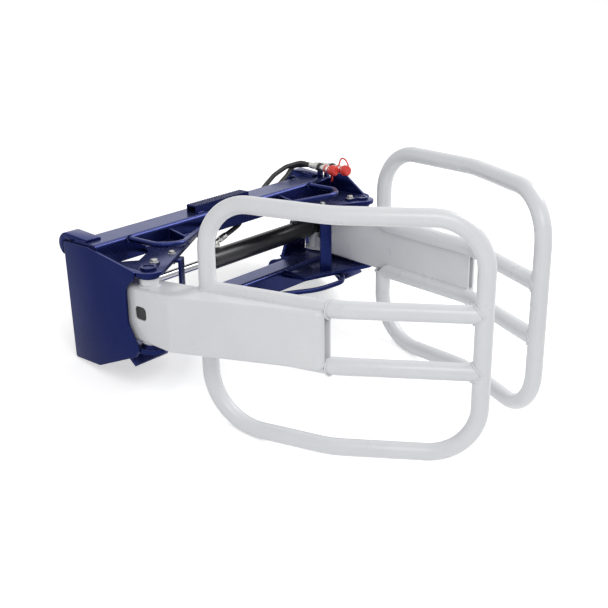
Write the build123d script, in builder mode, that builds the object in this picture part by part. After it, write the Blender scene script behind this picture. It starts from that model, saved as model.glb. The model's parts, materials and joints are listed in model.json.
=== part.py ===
"""Bale grabber for a front loader: a hitch frame, two hooped arms and the cylinder that works them.

Sizes are in millimetres. Pieces are drawn in working axes: X runs across the grabber with the
near end at -X, the arms point along -Y and Z is up. X and Y start midway between the two arm
pivots and Z starts on top of the upper lugs. The last lines lay the whole grabber back to the
angle at which it parks, on its hitch eyes and the rear bends of its hoops.
"""
import os
from math import asin, atan2, cos, degrees, hypot, radians, sin

from build123d import *

# Frame beams, end plates and lugs
FRAME_WIDTH = 1300.0
END_PLATE = 10.0
BEAM_WALL = 8.0
BEAM_FOLD = 14.0
TOP_BEAM_FRONT = 190.0
TOP_BEAM_DEPTH = 118.0
TOP_BEAM_TOP = 58.0
TOP_BEAM_HEIGHT = 80.0
LOW_BEAM_FRONT = 157.0
LOW_BEAM_DEPTH = 100.0
LOW_BEAM_HEIGHT = 85.0
LOW_BEAM_CLEARANCE = 7.0
LUG_PLATE = 15.0
LUG_TIP_RADIUS = 50.0
LUG_BOSS = 70.0
LUG_BOSS_HEIGHT = 11.0
LUG_ROOM_BELOW = 20.0
TOP_LUG_REACH = 431.0
LOW_LUG_REACH = 315.0
LOW_LUG_CORNER = (307.0, 48.0)
LIP_PLATE = 12.0
LIP_REACH = 95.0
STRAP_WIDTH = 48.0
STRAP_THICKNESS = 10.0
STRAP_INWARD = 188.0
STRAP_Y = 34.0
STRAP_TURN = 30.0
STRAP_TAB = 62.0
GUARD_BAR = 20.0
GUARD_RISE = 48.0
GUARD_DIP = 18.0
GUSSET_INWARD = 285.0
LOW_GUSSET_INWARD = 300.0
GUSSET_REACH = 88.0
GUSSET_NOSE = 26.0
GUSSET_PLATE = 10.0
TREAD_LENGTH = 290.0
TREAD_WIDTH = 46.0
TREAD_HEIGHT = 28.0
TREAD_WALL = 4.0
TREAD_RIBS = 23
TREAD_SETBACK = 22.0

# Loader hitch: hooks over the loader's cross tube, posts, and eyes for its locking pins
HITCH_PLATE = 16.0
HOOK_INSET = 14.0
HOOK_WIDTH = 60.0
HOOK_SEAT_RADIUS = 20.0
HOOK_RADIUS = 42.0
HOOK_Y = 345.0
HOOK_Z = 34.0
HOOK_PAD_FRONT = 240.0
HOOK_PAD = 9.0
POST_FOOT = (146.0, 0.0)
POST_HEAD = (32.0, -13.0)
FOOT_DROP = 8.0
EYE_PLATE_FOOT = 80.0
EYE_INWARD = 107.0
EYE_Y = 371.0
EYE_DROP = 66.0
EYE_RADIUS = 34.0
EYE_HOLE = 32.0

# Arms. Plan places are (inward, forward) from the arm's own pivot
PIVOT_INSET = 63.0
PIVOT_PIN = 40.0
PIVOT_TUBE = 64.0
RUNNING_FIT = 0.05
SIDE_PLAY = 1.0
ARM_DROP = 38.0
ARM_HEIGHT = 192.0
ARM_PLATE = 8.0
TUBE = 57.0
TUBE_WALL = 4.0
WELD_GAP = 0.3
BACK_TUBE = (91.0, 175.0)
BEND = (174.0, 610.0)
FRONT_TUBE = (410.0, 1006.0)
HOOP_TOP = 238.0
HOOP_BOTTOM = -520.0
HOOP_CORNER = 160.0
REST_CORNER = 190.0
PLAN_BEND_RADIUS = 250.0
CROSS_INSET = 3.0
OUTER_AT_PIVOT = -43.0
OUTER_CREASE = (-55.0, 135.0)
OUTER_FRONT = (120.0, 608.0)
CREASE_RADIUS = 40.0
FRONT_EDGE_RADIUS = 24.0
ROOT_WALL_END = -185.0
ROOT_STRIP_END = -216.0
ROOT_STRIP = 45.0
GREASE_HOLE = (54.0, 46.0)
GREASE_HOLE_DROP = 88.0
GREASE_HOLE_Y = 3.0

# Cylinder between the two arm roots
CYLINDER_PIN = 30.0
PIN_INWARD = -3.0
PIN_BEHIND = 245.0
ROOT_NOSE = 38.0
EYE_BOSS = 58.0
EYE_WIDTH = 50.0
OPEN_EYE_PLAY = 5.0
BARREL = 76.0
BARREL_WALL = 6.0
BARREL_START = -45.0
BARREL_END_GAP = 38.0
CAP_LENGTH = 16.0
GLAND_LENGTH = 30.0
ROD = 32.0
ROD_INSIDE = 60.0
ROD_EYE_GAP = 46.0
PORT = 24.0
PORT_HEIGHT = 26.0
PORT_FROM_GLAND = 32.0
PORT_FROM_CAP = 90.0

# Hoses and couplings
HOSE = 19.0
COUPLING = 30.0
COUPLING_LENGTH = 140.0
COUPLING_TURN = 12.0
COUPLING_RISE = 42.0
CAP_DIAMETER = 38.0
CAP_DEPTH = 26.0
CLAMP_PLATE = 10.0
CLAMP_WIDTH = 26.0
COUPLING_TABLE = (
    # name, x outward of the pivot and y at its clamp, length ahead of the clamp
    ("one", 6.0, 214.0, 100.0),
    ("two", 43.0, 208.0, 134.0),
)
HOSE_SLOT_INWARD = 215.0
HOSE_SLOT = (92.0, 26.0)
TAIL_REACH = 16.0
TAIL_RUN = 212.0
TAIL_BACK = 40.0

SIDES = (("near", -1.0), ("far", 1.0))

# Levels and places that follow from the sizes above
plate_face = FRAME_WIDTH / 2 - END_PLATE
PIVOT_X = FRAME_WIDTH / 2 - PIVOT_INSET
LUG_SPACE = ARM_DROP + ARM_HEIGHT + LUG_ROOM_BELOW
lug_under = -LUG_PLATE
low_lug_top = lug_under - LUG_SPACE
low_lug_under = low_lug_top - LUG_PLATE
arm_top = lug_under - ARM_DROP
arm_bottom = arm_top - ARM_HEIGHT
arm_middle = (arm_top + arm_bottom) / 2
low_beam_top = arm_bottom - LOW_BEAM_CLEARANCE
low_beam_under = low_beam_top - LOW_BEAM_HEIGHT
cross_top = arm_top - CROSS_INSET
cross_bottom = arm_bottom + CROSS_INSET
weld_reach = TUBE / 2 + WELD_GAP
top_beam_back = TOP_BEAM_FRONT + TOP_BEAM_DEPTH
top_beam_under = TOP_BEAM_TOP - TOP_BEAM_HEIGHT
low_beam_back = LOW_BEAM_FRONT + LOW_BEAM_DEPTH
cylinder_x = PIVOT_X - PIN_INWARD
barrel_end = cylinder_x - BARREL_END_GAP
gland_port_x = BARREL_START + PORT_FROM_GLAND
cap_port_x = barrel_end - PORT_FROM_CAP
eye_z = low_lug_top - EYE_DROP
toe_in = atan2(BEND[0] - BACK_TUBE[0], BEND[1] - BACK_TUBE[1])

pieces = {}


def wall_inward(forward):
    """Distance inward of the hoop's rear run, and of the arm's inner wall, at a forward place."""
    return BACK_TUBE[0] + (forward - BACK_TUBE[1]) * sin(toe_in) / cos(toe_in)


def tube_edge(forward):
    """Distance inward at which an arm plate meets the outer side of a cross tube."""
    return wall_inward(forward) - weld_reach / cos(toe_in)


def place(side, inward, forward):
    """Plan place of a point of one arm."""
    return (side * (PIVOT_X - inward), -forward)


def spot(side, plan, height):
    """Space place of a point of one arm."""
    return (*place(side, *plan), height)


def tube_along(points, radii, outer, wall=0.0):
    """Round bar, or tube with a wall, along straight runs and arcs."""
    with BuildLine() as route:
        FilletPolyline(*points, radius=radii)
    with BuildPart() as tube:
        with BuildSketch(Plane(origin=route.line @ 0, z_dir=route.line % 0)):
            Circle(outer / 2)
            if wall:
                Circle(outer / 2 - wall, mode=Mode.SUBTRACT)
        sweep(path=route.line)
    return tube


def channel(front, depth, top, height):
    """Beam of folded plate with rounded folds, open below, between the two end plates."""
    with BuildPart() as beam:
        for inset, mode in ((0.0, Mode.ADD), (BEAM_WALL, Mode.SUBTRACT)):
            with BuildSketch(Plane.YZ) as section:
                with Locations((front + depth / 2, top - inset)):
                    Rectangle(depth - 2 * inset, height, align=(Align.CENTER, Align.MAX))
                fillet(section.vertices().group_by(Axis.Y)[-1], BEAM_FOLD - inset)
            extrude(amount=plate_face, both=True, mode=mode)
    return beam


# Beams, the upper one with a slot for the hoses in its back
slot_x = PIVOT_X - HOSE_SLOT_INWARD
slot_z = TOP_BEAM_TOP / 2
with BuildPart() as top_beam:
    add(channel(TOP_BEAM_FRONT, TOP_BEAM_DEPTH, TOP_BEAM_TOP, TOP_BEAM_HEIGHT).part)
    with BuildSketch(Plane.XZ.offset(-top_beam_back)):
        with Locations((slot_x, slot_z)):
            SlotOverall(*HOSE_SLOT)
    extrude(amount=2 * BEAM_WALL, both=True, mode=Mode.SUBTRACT)
pieces["top_beam"] = top_beam.part
pieces["bottom_beam"] = channel(LOW_BEAM_FRONT, LOW_BEAM_DEPTH, low_beam_top, LOW_BEAM_HEIGHT).part

# End plates: sloping top, hollow front edge that clears the arm, sloping foot
END_OUTLINE = (
    # y, z, corner radius
    (345.0, 50.0, 6.0),
    (222.0, 48.0, 10.0),
    (2.0, 4.0, 9.0),
    (8.0, -20.0, 9.0),
    (50.0, -62.0, 30.0),
    (50.0, low_lug_top + 83.0, 40.0),
    (2.0, low_lug_top - 1.0, 12.0),
    (22.0, low_lug_top - 29.0, 12.0),
    (208.0, low_lug_top - 105.0, 30.0),
    (330.0, low_lug_top - 101.0, 10.0),
)
for name, side in SIDES:
    with BuildPart() as end_plate:
        with BuildSketch(Plane.YZ.offset(side * plate_face)):
            with BuildLine():
                FilletPolyline(
                    *[(y, z) for y, z, _ in END_OUTLINE],
                    radius=[r for _, _, r in END_OUTLINE],
                    close=True,
                )
            make_face()
        extrude(amount=side * END_PLATE)
    pieces[f"end_plate_{name}"] = end_plate.part


def lug_pair(back, top, inner_edge, boss_low):
    """Two lugs, one at each end, with a rounded tip and a boss round the pivot pin."""
    corner = inner_edge[-1]
    run = hypot(PIVOT_X - corner[0], corner[1])
    lean = atan2(corner[1], PIVOT_X - corner[0]) + asin(LUG_TIP_RADIUS / run)
    tip = (PIVOT_X - LUG_TIP_RADIUS * sin(lean), -LUG_TIP_RADIUS * cos(lean))
    outline = ((plate_face, 0), (plate_face, back), *inner_edge, tip, (PIVOT_X, 0))
    with BuildPart() as lugs:
        for _, side in SIDES:
            with BuildSketch(Plane.XY.offset(top - LUG_PLATE)):
                with BuildLine():
                    Polyline(*[(side * x, y) for x, y in outline], close=True)
                make_face()
                with Locations((side * PIVOT_X, 0)):
                    Circle(LUG_TIP_RADIUS)
            extrude(amount=LUG_PLATE)
            with Locations((side * PIVOT_X, 0, boss_low)):
                Cylinder(LUG_BOSS / 2, LUG_BOSS_HEIGHT, align=(Align.CENTER, Align.CENTER, Align.MIN))
            with Locations((side * PIVOT_X, 0, top)):
                Cylinder(PIVOT_PIN / 2 + RUNNING_FIT, 4 * LUG_PLATE, mode=Mode.SUBTRACT)
    return lugs


# Upper lugs, notched behind the pivot, and lower lugs with a folded lip
LUG_NOTCH = (
    # outward of the pivot, y
    (31.0, TOP_BEAM_FRONT + BEAM_WALL),
    (17.0, 150.0),
    (-25.0, 122.0),
    (-50.0, 100.0),
    (-140.0, 150.0),
    (-163.0, TOP_BEAM_FRONT + BEAM_WALL),
)
top_lug_edge = [(PIVOT_X - TOP_LUG_REACH, TOP_BEAM_FRONT)]
with BuildPart() as top_lugs:
    add(lug_pair(TOP_BEAM_FRONT, 0.0, top_lug_edge, lug_under - LUG_BOSS_HEIGHT).part)
    for _, side in SIDES:
        with BuildSketch(Plane.XY):
            with BuildLine():
                Polyline(*[(side * (PIVOT_X + x), y) for x, y in LUG_NOTCH], close=True)
            make_face()
        extrude(amount=LUG_PLATE, both=True, mode=Mode.SUBTRACT)
pieces["top_lugs"] = top_lugs.part
LIP_OUTLINE = (
    # y, drop below the lug
    (64.0, 0.0),
    (64.0, 32.0),
    (37.0, 55.0),
    (29.0, 46.0),
    (64.0 - LIP_PLATE, 26.0),
    (64.0 - LIP_PLATE, 0.0),
)
low_lug_edge = [
    (PIVOT_X - LOW_LUG_REACH, LOW_BEAM_FRONT),
    (PIVOT_X - LOW_LUG_CORNER[0], LOW_LUG_CORNER[1]),
]
with BuildPart() as bottom_lugs:
    add(lug_pair(LOW_BEAM_FRONT, low_lug_top, low_lug_edge, low_lug_top).part)
    for _, side in SIDES:
        with BuildSketch(Plane.YZ.offset(side * plate_face)):
            with BuildLine():
                Polyline(*[(y, low_lug_under - drop) for y, drop in LIP_OUTLINE], close=True)
            make_face()
        extrude(amount=-side * (plate_face - PIVOT_X + LIP_REACH))
pieces["bottom_lugs"] = bottom_lugs.part

# Straps that tie each upper lug to the lower one, with a tab bolted under the upper lug
with BuildPart() as straps:
    for _, side in SIDES:
        strap_top = (side * (PIVOT_X - STRAP_INWARD), STRAP_Y, lug_under)
        with Locations(Location(strap_top, (0, 0, side * -STRAP_TURN))):
            Box(STRAP_WIDTH, STRAP_THICKNESS, LUG_SPACE, align=(Align.CENTER, Align.MIN, Align.MAX))
            Box(STRAP_WIDTH, STRAP_TAB, STRAP_THICKNESS, align=(Align.CENTER, Align.MIN, Align.MAX))
pieces["lug_straps"] = straps.part

# Guard loops of bent round bar in front of the beams
low_guard = low_lug_under - GUARD_BAR / 2 - WELD_GAP
GUARD_TABLE = (
    # share of the pivot's x, y, z, bend radius
    ("top", TOP_BEAM_FRONT, (
        (0.835, TOP_BEAM_FRONT, GUARD_RISE, 0.0),
        (0.835, 60.0, GUARD_RISE, 46.0),
        (0.733, 2.0, GUARD_RISE, 60.0),
        (0.196, TOP_BEAM_FRONT, GUARD_DIP, 0.0),
    )),
    ("bottom", LOW_BEAM_FRONT, (
        (0.681, 112.0, low_guard, 0.0),
        (0.830, 20.0, low_guard, 40.0),
        (0.681, -46.0, low_guard - 3.0, 46.0),
        (0.494, -12.0, low_guard - 14.0, 150.0),
        (0.221, LOW_BEAM_FRONT, low_guard - 35.0, 0.0),
    )),
)
for name, front, bends in GUARD_TABLE:
    with BuildPart() as guards:
        for _, side in SIDES:
            points = [Vector(side * share * PIVOT_X, y, z) for share, y, z, _ in bends]
            points[-1] += (points[-1] - points[-2]).normalized() * GUARD_BAR
            add(tube_along(points, [r for *_, r in bends[1:-1]], GUARD_BAR).part)
            with Locations((points[-1].X, front, points[-1].Z)):
                Box(
                    8 * GUARD_BAR, 4 * GUARD_BAR, 4 * GUARD_BAR,
                    align=(Align.CENTER, Align.MIN, Align.CENTER), mode=Mode.SUBTRACT,
                )
    pieces[f"{name}_guard_loops"] = guards.part

# Gussets between each beam and its lugs
GUSSET_TABLE = (
    # inward of the pivot, beam front, lug level, height at the beam, height at the nose
    (GUSSET_INWARD, TOP_BEAM_FRONT, 0.0, TOP_BEAM_TOP - BEAM_FOLD, GUSSET_NOSE),
    (LOW_GUSSET_INWARD, LOW_BEAM_FRONT, low_lug_top, LUG_ROOM_BELOW - LOW_BEAM_CLEARANCE, 4.0),
)
with BuildPart() as gussets:
    for _, side in SIDES:
        for inward, front, low, high, nose in GUSSET_TABLE:
            with BuildSketch(Plane.YZ.offset(side * (PIVOT_X - inward) - GUSSET_PLATE / 2)):
                with BuildLine():
                    Polyline(
                        (front, low), (front, low + high),
                        (front - GUSSET_REACH, low + nose), (front - GUSSET_REACH, low), close=True,
                    )
                make_face()
            extrude(amount=GUSSET_PLATE)
pieces["gussets"] = gussets.part

# Ribbed step on the top beam
tread_y = TOP_BEAM_FRONT + TREAD_SETBACK + TREAD_WIDTH / 2
tread_top = TOP_BEAM_TOP + TREAD_HEIGHT
rib_pitch = TREAD_LENGTH / TREAD_RIBS
with BuildPart() as tread:
    with BuildSketch(Plane.YZ):
        with Locations((tread_y, TOP_BEAM_TOP + TREAD_HEIGHT / 2)):
            Rectangle(TREAD_WIDTH, TREAD_HEIGHT)
        with Locations((tread_y, TOP_BEAM_TOP + (TREAD_HEIGHT - TREAD_WALL) / 2)):
            Rectangle(TREAD_WIDTH - 2 * TREAD_WALL, TREAD_HEIGHT - TREAD_WALL, mode=Mode.SUBTRACT)
    extrude(amount=TREAD_LENGTH / 2, both=True)
    with Locations((0, tread_y, tread_top + 1.0)):
        with GridLocations(rib_pitch, 1, TREAD_RIBS, 1):
            Box(rib_pitch / 3, TREAD_WIDTH, 2.0)
pieces["step_tread"] = tread.part

# Loader hitch hooks on the back of the top beam
HOOK_OUTLINE = (
    # y, z
    (HOOK_PAD_FRONT, TOP_BEAM_TOP),
    (HOOK_PAD_FRONT, TOP_BEAM_TOP + HOOK_PAD),
    (HOOK_Y, HOOK_Z + HOOK_RADIUS),
    (HOOK_Y, HOOK_Z),
    (HOOK_Y - HOOK_SEAT_RADIUS, top_beam_under),
    (top_beam_back, top_beam_under),
    (top_beam_back, TOP_BEAM_TOP),
)
with BuildPart() as hooks:
    for _, side in SIDES:
        with BuildSketch(Plane.YZ.offset(side * (FRAME_WIDTH / 2 - HOOK_INSET))):
            with BuildLine():
                Polyline(*HOOK_OUTLINE, close=True)
            make_face()
            with Locations((HOOK_Y, HOOK_Z)):
                Circle(HOOK_RADIUS)
                Circle(HOOK_SEAT_RADIUS, mode=Mode.SUBTRACT)
            with Locations((HOOK_Y, HOOK_Z)):
                Rectangle(
                    2 * HOOK_SEAT_RADIUS, 2 * HOOK_RADIUS,
                    align=(Align.CENTER, Align.MAX), mode=Mode.SUBTRACT,
                )
            with Locations((top_beam_back, TOP_BEAM_TOP)):
                Rectangle(TOP_BEAM_DEPTH, TOP_BEAM_HEIGHT, align=(Align.MAX, Align.MAX), mode=Mode.SUBTRACT)
        extrude(amount=-side * HOOK_WIDTH)
pieces["hitch_hooks"] = hooks.part

# Loader hitch: a flat post behind both beams, and below it a foot with the eye plate
foot_top = low_beam_top - FOOT_DROP
foot_under = foot_top - HITCH_PLATE
POST_OUTLINE = (
    # inward of the pivot, z
    (POST_FOOT[0], foot_top),
    (POST_FOOT[1], foot_top),
    (POST_HEAD[1], top_beam_under),
    (POST_HEAD[0], top_beam_under),
)
EYE_OUTLINE = (
    # y, z
    (low_beam_back, foot_under),
    (top_beam_back, foot_under),
    (EYE_Y, eye_z + EYE_RADIUS),
    (EYE_Y, eye_z - EYE_RADIUS),
    (low_beam_back, low_beam_top - EYE_PLATE_FOOT),
)
foot_middle = PIVOT_X - (POST_FOOT[0] + POST_FOOT[1]) / 2
for name, side in SIDES:
    with BuildPart() as post:
        with BuildSketch(Plane.XZ.offset(-top_beam_back)):
            with BuildLine():
                Polyline(*[(side * (PIVOT_X - inward), z) for inward, z in POST_OUTLINE], close=True)
            make_face()
        extrude(amount=HITCH_PLATE)
    pieces[f"hitch_post_{name}"] = post.part
    with BuildPart() as bracket:
        with Locations((side * foot_middle, low_beam_back, foot_top)):
            Box(
                POST_FOOT[0] - POST_FOOT[1], top_beam_back - low_beam_back, HITCH_PLATE,
                align=(Align.CENTER, Align.MIN, Align.MAX),
            )
        with BuildSketch(Plane.YZ.offset(side * (PIVOT_X - EYE_INWARD) - HITCH_PLATE / 2)):
            with BuildLine():
                Polyline(*EYE_OUTLINE, close=True)
            make_face()
            with Locations((EYE_Y, eye_z)):
                Circle(EYE_RADIUS)
        extrude(amount=HITCH_PLATE)
        with Locations(Location((side * (PIVOT_X - EYE_INWARD), EYE_Y, eye_z), (0, 90, 0))):
            Cylinder(EYE_HOLE / 2, 2 * HITCH_PLATE, mode=Mode.SUBTRACT)
    pieces[f"hitch_bracket_{name}"] = bracket.part

# Pivot pins with a dished head and a flag plate that stops them turning
PIN_HEAD = 54.0
PIN_HEAD_HEIGHT = 10.0
PIN_DISH = (36.0, 3.0)
PIN_BELOW = 8.0
FLAG = (68.0, 28.0, 8.0)
FLAG_TURN = 25.0
for name, side in SIDES:
    with BuildPart() as pivot_pin:
        with Locations((side * PIVOT_X, 0, low_lug_under - PIN_BELOW)):
            Cylinder(
                PIVOT_PIN / 2, PIN_BELOW - low_lug_under,
                align=(Align.CENTER, Align.CENTER, Align.MIN),
            )
        with Locations((side * PIVOT_X, 0, 0)):
            Cylinder(PIN_HEAD / 2, PIN_HEAD_HEIGHT, align=(Align.CENTER, Align.CENTER, Align.MIN))
        with Locations(Location((side * PIVOT_X, 0, 0), (0, 0, 180 * (side > 0) - side * FLAG_TURN))):
            Box(*FLAG, align=(Align.MIN, Align.CENTER, Align.MIN))
        with Locations((side * PIVOT_X, 0, PIN_HEAD_HEIGHT)):
            Cylinder(
                PIN_DISH[0] / 2, PIN_DISH[1],
                align=(Align.CENTER, Align.CENTER, Align.MAX), mode=Mode.SUBTRACT,
            )
    pieces[f"pivot_pin_{name}"] = pivot_pin.part

# Arms
for name, side in SIDES:
    upper = [
        spot(side, BACK_TUBE, arm_top),
        spot(side, BACK_TUBE, HOOP_TOP),
        spot(side, BEND, HOOP_TOP),
        spot(side, FRONT_TUBE, HOOP_TOP),
        spot(side, FRONT_TUBE, arm_middle),
    ]
    lower = [
        spot(side, BACK_TUBE, arm_bottom),
        spot(side, BACK_TUBE, HOOP_BOTTOM),
        spot(side, BEND, HOOP_BOTTOM),
        spot(side, FRONT_TUBE, HOOP_BOTTOM),
        spot(side, FRONT_TUBE, arm_middle),
    ]
    radii = (HOOP_CORNER, PLAN_BEND_RADIUS, HOOP_CORNER)
    rest_radii = (REST_CORNER, PLAN_BEND_RADIUS, HOOP_CORNER)
    pieces[f"{name}_hoop_upper"] = tube_along(upper, radii, TUBE, TUBE_WALL).part
    pieces[f"{name}_hoop_lower"] = tube_along(lower, rest_radii, TUBE, TUBE_WALL).part

    cross_solids = []
    with BuildPart() as cross_tubes:
        for height in (cross_top, cross_bottom):
            run = [spot(side, BACK_TUBE, height), spot(side, BEND, height), spot(side, FRONT_TUBE, height)]
            add(tube_along(run, PLAN_BEND_RADIUS, TUBE, TUBE_WALL).part)
            cross_solids.append(tube_along(run, PLAN_BEND_RADIUS, TUBE + 2 * WELD_GAP).part)
        for plan in (BACK_TUBE, FRONT_TUBE):
            with Locations(spot(side, plan, arm_middle)):
                Cylinder(weld_reach, 2 * ARM_HEIGHT, mode=Mode.SUBTRACT)
    pieces[f"{name}_cross_tubes"] = cross_tubes.part

    plate_outline = [
        (PIN_INWARD - ROOT_NOSE, -PIN_BEHIND),
        (OUTER_AT_PIVOT, 0.0),
        OUTER_CREASE,
        OUTER_FRONT,
        (tube_edge(OUTER_FRONT[1]), OUTER_FRONT[1]),
        (tube_edge(BACK_TUBE[1]), BACK_TUBE[1]),
        (wall_inward(BACK_TUBE[1] - TUBE / 2), BACK_TUBE[1] - TUBE / 2),
        (wall_inward(0.0) + ARM_PLATE / 2, 0.0),
        (PIN_INWARD + ROOT_NOSE, -PIN_BEHIND),
    ]
    for level, low in (("top", arm_top - ARM_PLATE), ("bottom", arm_bottom)):
        with BuildPart() as arm_plate:
            with BuildSketch(Plane.XY.offset(low)):
                with BuildLine():
                    Polyline(*[place(side, *plan) for plan in plate_outline], close=True)
                make_face()
                with Locations(place(side, PIN_INWARD, -PIN_BEHIND)):
                    Circle(ROOT_NOSE)
                    Circle(CYLINDER_PIN / 2 + RUNNING_FIT, mode=Mode.SUBTRACT)
                with Locations(place(side, *BACK_TUBE)):
                    Circle(TUBE / 2)
                with Locations(place(side, 0.0, 0.0)):
                    Circle(PIVOT_TUBE / 2 + WELD_GAP, mode=Mode.SUBTRACT)
            extrude(amount=ARM_PLATE)
        pieces[f"{name}_arm_{level}_plate"] = arm_plate.part

    half = ARM_PLATE / 2
    wall_height = ARM_HEIGHT - 2 * ARM_PLATE
    front_run = OUTER_FRONT[1] - half
    outer_run = [
        spot(side, (OUTER_AT_PIVOT + half + 1.0, ROOT_WALL_END), arm_middle),
        spot(side, (OUTER_AT_PIVOT + half, 0.0), arm_middle),
        spot(side, (OUTER_CREASE[0] + half, OUTER_CREASE[1]), arm_middle),
        spot(side, (OUTER_FRONT[0] + half, front_run), arm_middle),
        spot(side, (wall_inward(front_run - half) - half / cos(toe_in) - WELD_GAP, front_run), arm_middle),
    ]
    with BuildLine() as outer_route:
        FilletPolyline(*outer_run, radius=(CREASE_RADIUS, CREASE_RADIUS, FRONT_EDGE_RADIUS))
    with BuildPart() as outer_wall:
        with BuildSketch(Plane(origin=outer_route.line @ 0, x_dir=(0, 0, 1), z_dir=outer_route.line % 0)):
            Rectangle(wall_height, ARM_PLATE)
        sweep(path=outer_route.line)
        for cross in cross_solids:
            add(cross, mode=Mode.SUBTRACT)
        with BuildSketch(Plane.YZ.offset(side * (PIVOT_X - OUTER_AT_PIVOT))):
            with Locations((GREASE_HOLE_Y, arm_top - GREASE_HOLE_DROP)):
                RectangleRounded(*GREASE_HOLE, GREASE_HOLE[1] / 3)
        extrude(amount=2 * ARM_PLATE, both=True, mode=Mode.SUBTRACT)
    pieces[f"{name}_arm_outer_wall"] = outer_wall.part

    with BuildPart() as inner_panel:
        panel_start = spot(side, (wall_inward(ROOT_WALL_END), ROOT_WALL_END), arm_middle)
        along = (side * -sin(toe_in), -cos(toe_in), 0)
        root_length = (BACK_TUBE[1] + TUBE / 2 - half - ROOT_WALL_END) / cos(toe_in)
        full_length = (front_run + half - ROOT_WALL_END) / cos(toe_in)
        with BuildSketch(Plane(origin=panel_start, x_dir=along, z_dir=(-along[1], along[0], 0))):
            with Locations((root_length / 2, 0)):
                Rectangle(root_length, wall_height)
            with Locations((full_length / 2, 0)):
                Rectangle(full_length, cross_top - cross_bottom - 2 * weld_reach)
            with Locations((0, (wall_height - ROOT_STRIP) / 2), (0, (ROOT_STRIP - wall_height) / 2)):
                Rectangle(
                    (ROOT_WALL_END - ROOT_STRIP_END) / cos(toe_in), ROOT_STRIP,
                    align=(Align.MAX, Align.CENTER),
                )
        extrude(amount=half, both=True)
        with Locations((*place(side, 0, 0), arm_middle)):
            Cylinder(PIVOT_TUBE / 2 + WELD_GAP, ARM_HEIGHT, mode=Mode.SUBTRACT)
    pieces[f"{name}_arm_inner_panel"] = inner_panel.part

    with BuildPart() as pivot_tube:
        with BuildSketch(Plane.XY.offset(low_lug_top + LUG_BOSS_HEIGHT + SIDE_PLAY)):
            with Locations(place(side, 0.0, 0.0)):
                Circle(PIVOT_TUBE / 2)
                Circle(PIVOT_PIN / 2 + RUNNING_FIT, mode=Mode.SUBTRACT)
        extrude(amount=LUG_SPACE - 2 * (LUG_BOSS_HEIGHT + SIDE_PLAY))
    pieces[f"{name}_pivot_tube"] = pivot_tube.part

    # Cylinder pin with collars that hold the cylinder's eye at mid height
    collar = 46.0
    with BuildPart() as cylinder_pin:
        with Locations(spot(side, (PIN_INWARD, -PIN_BEHIND), arm_bottom)):
            Cylinder(CYLINDER_PIN / 2, ARM_HEIGHT + 8.0, align=(Align.CENTER, Align.CENTER, Align.MIN))
        with Locations(spot(side, (PIN_INWARD, -PIN_BEHIND), arm_top)):
            Cylinder(collar / 2, 8.0, align=(Align.CENTER, Align.CENTER, Align.MIN))
        collar_height = (wall_height - EYE_WIDTH) / 2 - SIDE_PLAY
        for low in (arm_bottom + ARM_PLATE, arm_top - ARM_PLATE - collar_height):
            with Locations(spot(side, (PIN_INWARD, -PIN_BEHIND), low)):
                Cylinder(collar / 2, collar_height, align=(Align.CENTER, Align.CENTER, Align.MIN))
    pieces[f"{name}_cylinder_pin"] = cylinder_pin.part

# Cylinder
axis_plane = Plane(origin=(0, PIN_BEHIND, arm_middle), x_dir=(0, 1, 0), z_dir=(1, 0, 0))


def round_bar(start, end, outer, inner=0.0):
    """Turned bar or ring on the cylinder's axis, between two places across the grabber."""
    with BuildPart() as bar:
        with BuildSketch(axis_plane.offset(start)):
            Circle(outer / 2)
            if inner:
                Circle(inner / 2, mode=Mode.SUBTRACT)
        extrude(amount=end - start)
    return bar


def eye_block(side, neck_end, neck, bore):
    """Round eye on its pin with a short neck towards the middle of the cylinder."""
    with BuildPart() as eye:
        with Locations((side * cylinder_x, PIN_BEHIND, arm_middle)):
            Cylinder(EYE_BOSS / 2, EYE_WIDTH)
        add(round_bar(min(side * cylinder_x, neck_end), max(side * cylinder_x, neck_end), neck).part)
        with Locations((side * cylinder_x, PIN_BEHIND, arm_middle)):
            Cylinder(bore / 2, 2 * EYE_WIDTH, mode=Mode.SUBTRACT)
    return eye


gland_start = BARREL_START - GLAND_LENGTH
with BuildPart() as barrel:
    add(round_bar(BARREL_START, barrel_end - CAP_LENGTH, BARREL).part)
    for port_x in (gland_port_x, cap_port_x):
        with Locations((port_x, PIN_BEHIND, arm_middle + BARREL / 2 - BARREL_WALL / 2)):
            Cylinder(PORT / 2, 2 * BARREL_WALL, align=(Align.CENTER, Align.CENTER, Align.MIN))
    with BuildSketch(axis_plane.offset(BARREL_START)):
        Circle(BARREL / 2 - BARREL_WALL)
    extrude(amount=barrel_end - BARREL_START, mode=Mode.SUBTRACT)
pieces["barrel"] = barrel.part
pieces["barrel_cap"] = round_bar(barrel_end - CAP_LENGTH, barrel_end, BARREL).part
pieces["gland"] = round_bar(gland_start, BARREL_START, BARREL - 2.0, ROD + 2 * RUNNING_FIT).part
pieces["barrel_eye"] = eye_block(1.0, barrel_end, EYE_WIDTH, CYLINDER_PIN + 2 * RUNNING_FIT).part
rod_eye_end = -cylinder_x + ROD_EYE_GAP
pieces["rod"] = round_bar(rod_eye_end, BARREL_START + ROD_INSIDE, ROD).part
pieces["rod_eye"] = eye_block(-1.0, rod_eye_end, ROD + 12.0, CYLINDER_PIN + 2 * OPEN_EYE_PLAY).part

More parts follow.
